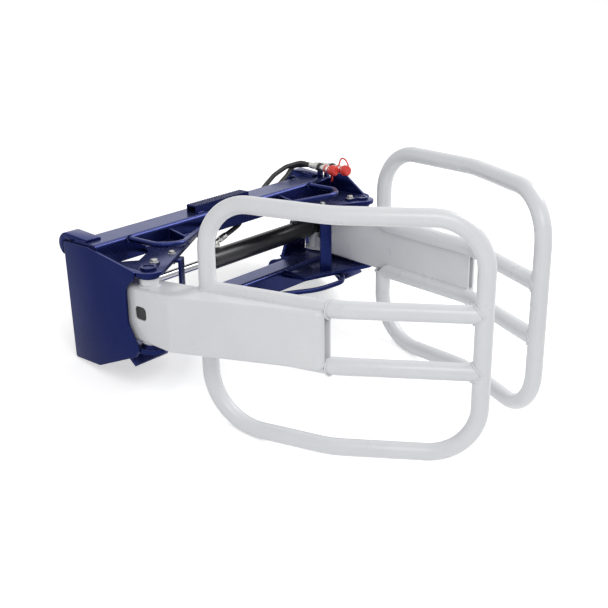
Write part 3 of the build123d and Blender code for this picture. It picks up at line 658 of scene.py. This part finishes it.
for name, side in SIDES:
    ears = [arm_ear(side, ARM_TOP - EAR_PLATE), arm_ear(side, ARM_BOTTOM)]
    shell = settle(f"{name}_arm_shell", [arm_box(side), *ears], f"{name}_arm", "arm_paint")
    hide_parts(f"{name}_arm_top_plate", f"{name}_arm_bottom_plate", f"{name}_arm_outer_wall")
    plug_plan = (GREASE_HOLE_PLACE[0] + PLUG_INWARD, GREASE_HOLE_PLACE[1])
    plug = soft_block(spot(side, plug_plan, GREASE_HOLE_LEVEL), PLUG_SIZE, PLUG_CORNER)
    settle(f"{name}_grease_plug", [plug], f"{name}_arm", "hose_rubber")

# Weld beads of the arms, in the arm paint
CROSS_RUN = Vector((FRONT_TUBE[0] - BEND[0], FRONT_TUBE[1] - BEND[1])).normalized()
BEAD = 4.0
SEAM_GAP = 2.0
SADDLE_STEPS = 40
SADDLE_SPREAD = 1.03
PIVOT_TUBE_SEAM = 34.0
BOX_EDGE_RUN = (208.0, 604.0)
MOUTH_ARCS = ((CROSS_LEVELS[0], 60.0, 250.0), (CROSS_LEVELS[1], 110.0, 300.0))


def saddle(side, level):
    """Seam where a cross tube meets the upright front tube."""
    reach = TUBE_RADIUS + SEAM_GAP
    along = Vector((-side * CROSS_RUN.x, -CROSS_RUN.y, 0))
    across = Vector((-along.y, along.x, 0))
    centre = Vector(spot(side, FRONT_TUBE, level))
    places = []
    for step in range(SADDLE_STEPS + 1):
        turn = math.tau * step / SADDLE_STEPS
        out = across * math.cos(turn) * TUBE_RADIUS - along * abs(math.sin(turn)) * reach
        places.append(centre + out * SADDLE_SPREAD + Vector((0, 0, math.sin(turn) * reach)))
    return places


for name, side in SIDES:
    seams = [saddle(side, level) for level in CROSS_LEVELS]
    for level, lift in ((ARM_TOP, 1.0), (ARM_BOTTOM, -1.0)):
        seams.append(ring(spot(side, BACK_TUBE, level + lift), TUBE_RADIUS + SEAM_GAP))
        seams.append(ring(spot(side, (0.0, 0.0), level + lift), PIVOT_TUBE_SEAM))
        edge = [(wall_inward(forward) - TUBE_RADIUS - 1.0, forward) for forward in BOX_EDGE_RUN]
        seams.append([spot(side, plan, level + lift * 0.5) for plan in edge])
    for level, start, end in MOUTH_ARCS:
        mouth = spot(side, (wall_inward(BOX_FRONT), BOX_FRONT + 1.0), level)
        seams.append(ring(mouth, TUBE_RADIUS + SEAM_GAP, (-side, 0, 0), UP, start, end))
    beads = drawn_line([weld_path(seam) for seam in seams], BEAD)
    settle(f"{name}_arm_welds", [beads], f"{name}_arm", "arm_paint")

# Frame plates with the sharp edges of their blanks rounded off
EDGE_ROUND = 2.0
SHARP_EDGE = math.radians(50.0)
FLAT_JOIN = math.radians(1.0)
FRAME_PLATES = (
    "end_plate_near",
    "end_plate_far",
    "top_lugs",
    "bottom_lugs",
    "lug_straps",
    "gussets",
    "hitch_hooks",
    "hitch_post_near",
    "hitch_post_far",
    "hitch_bracket_near",
    "hitch_bracket_far",
    "coupling_holder",
)


def rounded_plate(blank):
    """Copy of a plate from the frame's blanks with its sharp edges rounded."""
    shape = nodes[blank].data.copy()
    shape.transform(nodes[blank].matrix_world)
    plate = bpy.data.objects.new(f"{blank}_rounded", shape)
    bpy.context.scene.collection.objects.link(plate)
    bpy.ops.object.select_all(action="DESELECT")
    plate.select_set(True)
    edit(plate)
    bpy.ops.mesh.select_all(action="SELECT")
    bpy.ops.mesh.remove_doubles(threshold=MERGE_GAP * MM)
    bpy.ops.mesh.dissolve_limited(angle_limit=FLAT_JOIN)
    bpy.ops.mesh.select_all(action="DESELECT")
    bpy.ops.mesh.select_mode(type="EDGE")
    bpy.ops.mesh.edges_select_sharp(sharpness=SHARP_EDGE)
    bpy.ops.mesh.bevel(offset=EDGE_ROUND * MM, segments=2, affect="EDGES", clamp_overlap=True)
    close_up(plate)
    return plate


for blank in FRAME_PLATES:
    plate = rounded_plate(blank)
    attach(plate, "frame")
    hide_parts(blank)

# Weld beads of the frame, in the frame paint; PROUD is how far a bead's middle stands off its plate
PROUD = 1.0
LUG_SEAM = (158.0, 424.0)
LOW_LUG_SEAM = (276.0, 638.0)
END_PLATE_SEAM = {"near": PLATE_FACE - 1.0, "far": PLATE_FACE - 11.0}
END_PLATE_RUN = (12.0, 188.0)
FOLD_START = 44.0
GUSSET_X = 302.0
GUSSET_TIP = 104.0
GUSSET_TOP = 42.0
GUSSET_SEAM = 6.0
GUSSET_CLEAR = 7.0
POST_HEAD = (555.0, 600.0)
POST_FOOT = (441.0, 587.0)
POST_FRONT = 292.0
FOOT_TOP = -260.0
EYE_X = 480.0
EYE_SEAM = 9.0
EYE_RUN = (-278.0, -330.0)
HOOK_SEAMS = (575.0, 637.0)
HOOK_RUN = (242.0, 296.0)
BOSS_SEAM = 36.0
LOOP_ENDS = (
    # across, beam face, level and seam radius where a guard loop meets a beam
    (490.0, BEAM_FRONT, 47.0, 11.0),
    (117.0, BEAM_FRONT, 18.0, 13.0),
    (131.0, LOW_BEAM_FRONT, -325.0, 13.0),
)
TREAD_STITCHES = (-120.0, -40.0, 40.0, 120.0)
STITCH_HALF = 16.0
STITCH_Y = 211.0


def level_seam(side, run, depth, level):
    """Seam across the frame on one side, at one depth and level."""
    return [(side * across, depth, level) for across in run]


frame_seams = []
for name, side in SIDES:
    corner = side * END_PLATE_SEAM[name]
    beam_face = BEAM_FRONT - PROUD
    post_back = BEAM_BACK + PROUD
    frame_seams += [
        level_seam(side, (LUG_SEAM[0], GUSSET_X - GUSSET_CLEAR), beam_face, PROUD),
        level_seam(side, (GUSSET_X + GUSSET_CLEAR, LUG_SEAM[1]), beam_face, PROUD),
        [(corner, depth, PROUD) for depth in END_PLATE_RUN],
        [(corner, beam_face, BEAM_UNDER), (corner, beam_face, FOLD_START)],
        level_seam(side, LOW_LUG_SEAM, LOW_BEAM_FRONT - PROUD, LOW_LUG_TOP + PROUD),
        level_seam(side, POST_HEAD, post_back, BEAM_UNDER),
        level_seam(side, POST_FOOT, post_back, FOOT_TOP),
        level_seam(side, POST_FOOT, POST_FRONT - PROUD, FOOT_TOP + PROUD),
        level_seam(side, POST_FOOT, LOW_BEAM_BACK, FOOT_TOP + PROUD),
    ]
    for across, face, level, radius in LOOP_ENDS:
        frame_seams.append(ring((side * across, face - PROUD, level), radius, SIDEWAYS, UP))
    for level in (LUG_UNDER - PROUD, LOW_LUG_TOP + PROUD):
        frame_seams.append(ring((side * PIVOT_X, 0, level), BOSS_SEAM))
    for edge in (-GUSSET_SEAM, GUSSET_SEAM):
        gusset, back = side * GUSSET_X + edge, BEAM_FRONT - 2 * PROUD
        frame_seams.append([(gusset, GUSSET_TIP, PROUD), (gusset, back, PROUD), (gusset, back, GUSSET_TOP)])
    for edge in (-EYE_SEAM, EYE_SEAM):
        frame_seams.append([(side * EYE_X + edge, LOW_BEAM_BACK + PROUD, level) for level in EYE_RUN])
    for edge in HOOK_SEAMS:
        frame_seams.append([(side * edge, depth, BEAM_TOP + PROUD) for depth in HOOK_RUN])
for middle in TREAD_STITCHES:
    frame_seams.append([(middle + end, STITCH_Y, BEAM_TOP + PROUD) for end in (-STITCH_HALF, STITCH_HALF)])
beads = drawn_line([weld_path(seam) for seam in frame_seams], BEAD)
settle("frame_welds", [beads], "frame", "frame_paint")

# Bolts of the flag plates and lug straps, and the rings that keep the pivot pins in
FLAG_TURN = math.radians(25.0)
FLAG_BOLT = 52.0
FLAG_TOP = 8.0
STRAP_BOLT = (417.0, 65.0)
STRAP_PLATE = 10.0
STRAP_HEAD = {"flats": 19.0, "height": 8.0}
KEEPER_FACE = 27.0
KEEPER_STEPS = ((1.0, 28.5), (3.0, 28.5), (1.0, KEEPER_FACE))
KEEPER_GAP = 0.2
bolts = []
keepers = []
for _, side in SIDES:
    flag_x = side * (PIVOT_X - FLAG_BOLT * math.cos(FLAG_TURN))
    strap_x, strap_y = side * STRAP_BOLT[0], STRAP_BOLT[1]
    bolts += bolt_head((flag_x, FLAG_BOLT * math.sin(FLAG_TURN), FLAG_TOP), UP)
    bolts += bolt_head((strap_x, strap_y, 0.0), UP, **STRAP_HEAD)
    bolts += bolt_head((strap_x, strap_y, LUG_UNDER - STRAP_PLATE), DOWN, **STRAP_HEAD)
    keepers.append(turned((side * PIVOT_X, 0, LOW_LUG_UNDER - KEEPER_GAP), DOWN, KEEPER_FACE, KEEPER_STEPS))
settle("frame_bolts", bolts, "frame", "zinc_steel")
settle("pin_keepers", keepers, "frame", "zinc_steel")

# Couplings, their dust caps with straps, and the hose ends
COUPLING_TURN = math.radians(12.0)
COUPLING_LEVEL = 100.0
COUPLING_AIM = Vector((math.sin(COUPLING_TURN), math.cos(COUPLING_TURN), 0))
COUPLING_SIDE = Vector((COUPLING_AIM.y, -COUPLING_AIM.x, 0))
NOSES = (
    Vector((593.0, 214.0, COUPLING_LEVEL)) - COUPLING_AIM * 100.0,
    Vector((630.0, 208.0, COUPLING_LEVEL)) - COUPLING_AIM * 134.0,
)
# Distances back from the nose, then steps of advance and radius
BODY_BACK, COLLAR_BACK, NUT_BACK, FERRULE_BACK = 22.0, 92.0, 112.0, 137.0
BODY_NOSE = 12.0
BODY_STEPS = (
    (0.0, 13.0), (8.0, 13.0), (0.0, 14.4), (1.0, 15.4), (9.0, 15.4), (1.0, 14.4), (2.0, 14.4), (1.0, 15.4),
    (22.0, 15.4), (1.5, 14.0), (12.0, 14.0), (0.0, 13.2), (24.0, 13.2), (0.0, 12.4), (33.0, 12.4),
)
NUT_FLATS, NUT_LENGTH = 27.0, 13.0
FERRULE_MOUTH = 11.0
FERRULE_STEPS = (
    (0.8, 12.6), (5.0, 12.6), (1.0, 11.8), (1.5, 11.8), (1.0, 12.6), (5.0, 12.6), (1.0, 11.8), (1.5, 11.8),
    (1.0, 12.6), (6.0, 12.6), (2.0, 11.0),
)
CAP_NOSE = 11.0
CAP_STEPS = (
    (0.0, 15.0), (2.0, 18.6), (2.5, 20.0), (12.0, 20.4), (0.0, 20.4), (1.5, 22.0), (5.0, 22.0), (1.5, 20.5),
)
COLLAR_BORE = 14.0
COLLAR_STEPS = ((1.0, 18.0), (10.0, 18.0), (1.0, COLLAR_BORE))
BAND_BORE, BAND_RADIUS = 15.2, 17.0
BANDS = ((33.0, 4.0), (54.0, 7.0))
bodies, ferrules, caps, bands, collars = [], [], [], [], []
for nose in NOSES:
    bodies.append(turned(nose + COUPLING_AIM * BODY_BACK, COUPLING_AIM, BODY_NOSE, BODY_STEPS))
    bodies.append(hexagon(nose + COUPLING_AIM * NUT_BACK, COUPLING_AIM, NUT_FLATS, NUT_LENGTH))
    ferrules.append(turned(nose + COUPLING_AIM * FERRULE_BACK, COUPLING_AIM, FERRULE_MOUTH, FERRULE_STEPS))
    caps.append(turned(nose, COUPLING_AIM, CAP_NOSE, CAP_STEPS))
    for back, wide in BANDS:
        band_steps = ((0.6, BAND_RADIUS), (wide, BAND_RADIUS), (0.6, BAND_BORE))
        bands.append(turned(nose + COUPLING_AIM * back, COUPLING_AIM, BAND_BORE, band_steps))
    collars.append(turned(nose + COUPLING_AIM * COLLAR_BACK, COUPLING_AIM, COLLAR_BORE, COLLAR_STEPS))
coupling_bodies = settle("coupling_bodies", bodies, "frame", "zinc_steel")
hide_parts("couplings")
settle("hose_ferrules", ferrules, "frame", "zinc_steel")
cap_bodies = settle("cap_bodies", caps, "frame", "red_plastic")
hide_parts("dust_caps")
settle("coupling_bands", bands, "frame", "red_plastic")
settle("coupling_collars", collars, "frame", "hose_rubber")
STRAP_ROUTES = (
    # places of each cap's moulded strap from its nose: back, sideways and up
    ((20.0, -4.0, -20.0), (20.0, -2.0, -30.0), (22.0, -1.0, -38.0), (27.0, 0.0, -45.0)),
    ((2.0, 0.0, 17.0), (4.0, 2.0, 27.0), (24.0, 4.0, 44.0), (48.0, 4.0, 43.0), (58.0, 0.0, 17.0)),
)


def smooth_route(places, steps=8):
    """Finer places on a smooth line through a few given ones."""
    marks = [Vector(place) for place in places]
    ends = [marks[0] * 2 - marks[1], *marks, marks[-1] * 2 - marks[-2]]
    fine = []
    for before, start, end, after in zip(ends, ends[1:], ends[2:], ends[3:]):
        for step in range(steps):
            share = step / steps
            swing = (before * -1 + start * 3 - end * 3 + after) * share**3
            swing += (before * 2 - start * 5 + end * 4 - after) * share**2 + (end - before) * share
            fine.append(start + swing / 2)
    return fine + [marks[-1]]


STRAP_RADIUS = 3.2
cap_straps = []
for nose, route in zip(NOSES, STRAP_ROUTES):
    places = [
        nose + COUPLING_AIM * along + COUPLING_SIDE * across + Vector((0, 0, up))
        for along, across, up in route
    ]
    cap_straps.append([(place, 1.0) for place in smooth_route(places)])
settle("cap_straps", [drawn_line(cap_straps, STRAP_RADIUS, resolution=4)], "frame", "red_plastic")

# Nuts and ferrules on the cylinder's ports, and its seams
GLAND_PORT_X = -13.0
CAP_PORT_X = 462.0
PORT_TOP = ARM_MIDDLE + BARREL_RADIUS + 9.0
PORT_NUT = 11.0
ELBOW = Vector((GLAND_PORT_X, CYLINDER_Y, PORT_TOP + 18.0))
ELBOW_AIM = Vector((92.0, 4.0, 22.0)).normalized()
ELBOW_NUT = 20.0
ELBOW_FLATS = 24.0
nuts = [
    hexagon((GLAND_PORT_X, CYLINDER_Y, PORT_TOP), UP, NUT_FLATS, PORT_NUT),
    hexagon(ELBOW + ELBOW_AIM * ELBOW_NUT, ELBOW_AIM, ELBOW_FLATS, NUT_LENGTH),
    turned(ELBOW + ELBOW_AIM * (ELBOW_NUT + NUT_LENGTH), ELBOW_AIM, FERRULE_MOUTH, FERRULE_STEPS),
    hexagon((CAP_PORT_X, CYLINDER_Y, PORT_TOP), UP, NUT_FLATS, PORT_NUT),
    turned((CAP_PORT_X, CYLINDER_Y, PORT_TOP + PORT_NUT), UP, FERRULE_MOUTH, FERRULE_STEPS),
]
settle("port_nuts", nuts, "barrel", "zinc_steel")
BARREL_START = -45.0
BARREL_END = 552.0
WIPER_X = BARREL_START - 30.5
WIPER_STEPS = ((3.0, 24.0), (2.0, 18.0))
GLAND_RING_X = BARREL_START - 4.0
GLAND_RING_STEPS = ((0.8, 39.0), (6.0, 39.0), (0.8, 38.2))
wiper = turned((WIPER_X, CYLINDER_Y, ARM_MIDDLE), (-1, 0, 0), 26.0, WIPER_STEPS)
gland_ring = turned((GLAND_RING_X, CYLINDER_Y, ARM_MIDDLE), SIDEWAYS, 38.2, GLAND_RING_STEPS)
settle("gland_rings", [wiper, gland_ring], "barrel", "cylinder_paint")
BACKWARD = (0, 1, 0)
BARREL_BEAD = 3.5
barrel_seams = [
    ring((BARREL_END - 16.0, CYLINDER_Y, ARM_MIDDLE), BARREL_RADIUS - 1.0, BACKWARD, UP),
    ring((BARREL_END + 1.0, CYLINDER_Y, ARM_MIDDLE), 26.0, BACKWARD, UP),
]
for port_x in (GLAND_PORT_X, CAP_PORT_X):
    barrel_seams.append(ring((port_x, CYLINDER_Y, ARM_MIDDLE + BARREL_RADIUS - 1.5), 13.0))
beads = drawn_line([weld_path(seam) for seam in barrel_seams], BARREL_BEAD)
settle("barrel_welds", [beads], "barrel", "cylinder_paint")


# Floor, light and camera
def soft_lamp(name, place, aim, width, length, watts):
    """Broad lamp turned to a point."""
    data = bpy.data.lights.new(name, "AREA")
    data.shape = "RECTANGLE"
    data.size = width
    data.size_y = length
    data.energy = watts
    lamp = bpy.data.objects.new(name, data)
    bpy.context.scene.collection.objects.link(lamp)
    lamp.location = place
    lamp.rotation_euler = (Vector(aim) - Vector(place)).to_track_quat("-Z", "Y").to_euler()


def seen_directly(tree):
    """Mask of the rays that show a background: from the camera, off metal and through glass."""
    path = tree.nodes.new("ShaderNodeLightPath")
    mask = path.outputs["Is Camera Ray"]
    for label in ("Is Glossy Ray", "Is Transmission Ray"):
        either = tree.nodes.new("ShaderNodeMath")
        either.operation = "MAXIMUM"
        tree.links.new(mask, either.inputs[0])
        tree.links.new(path.outputs[label], either.inputs[1])
        mask = either.outputs["Value"]
    return mask


def scaled(tree, mask, low, high):
    """Value that goes from low to high with a mask."""
    node = tree.nodes.new("ShaderNodeMapRange")
    node.inputs["To Min"].default_value = low
    node.inputs["To Max"].default_value = high
    tree.links.new(mask, node.inputs["Value"])
    return node.outputs["Result"]


FLOOR_GLOW = 0.5
floor_paint, floor_tree, floor_shader = finish("floor_paper", Roughness=0.9)
floor_shader.inputs["Base Color"].default_value = (0.93, 0.93, 0.93, 1)
floor_shader.inputs["Emission Color"].default_value = (1, 1, 1, 1)
glow = scaled(floor_tree, seen_directly(floor_tree), 0.0, FLOOR_GLOW)
floor_tree.links.new(glow, floor_shader.inputs["Emission Strength"])
bpy.ops.mesh.primitive_plane_add(size=40.0, location=(0, 0, 0))
floor = bpy.context.object
floor.name = "floor"
floor.data.materials.append(floor_paint)
bpy.ops.object.select_all(action="DESELECT")

SKY_LIGHT = 0.5
world = bpy.data.worlds.new("studio")
bpy.context.scene.world = world
world.use_nodes = True
sky = world.node_tree.nodes["Background"]
sky.inputs["Color"].default_value = (1, 1, 1, 1)
sky_strength = scaled(world.node_tree, seen_directly(world.node_tree), SKY_LIGHT, 1.0)
world.node_tree.links.new(sky_strength, sky.inputs["Strength"])
soft_lamp("key_lamp", place=(-2.2, -1.6, 3.4), aim=(0, 0, 0.4), width=1.8, length=1.8, watts=38)
soft_lamp("side_lamp", place=(2.9, -0.45, 3.27), aim=(0.2, 0.2, 0.4), width=1.4, length=2.2, watts=60)

CAMERA_PLACE = (-2826.3, -2453.5, 1035.1)
CAMERA_AXES = (
    # rightward, upward and backward
    (0.6317, -0.77511, -0.01258),
    (0.28418, 0.21644, 0.93402),
    (-0.72124, -0.5936, 0.35699),
)
FOCAL_PIXELS = 1062.2
PICTURE_CENTRE = (294.92, 331.17)
PICTURE_SIZE = 608.0
camera_data = bpy.data.cameras.new("camera")
camera_data.sensor_width = 36.0
camera_data.lens = FOCAL_PIXELS / PICTURE_SIZE * camera_data.sensor_width
camera_data.shift_x = 0.5 - PICTURE_CENTRE[0] / PICTURE_SIZE
camera_data.shift_y = PICTURE_CENTRE[1] / PICTURE_SIZE - 0.5
camera = bpy.data.objects.new("camera", camera_data)
bpy.context.scene.collection.objects.link(camera)
camera_turn = Matrix(CAMERA_AXES).transposed().to_4x4()
camera.matrix_world = PARKED @ Matrix.Translation(Vector(CAMERA_PLACE) * MM) @ camera_turn
bpy.context.scene.camera = camera

bpy.context.scene.view_settings.view_transform = "Standard"
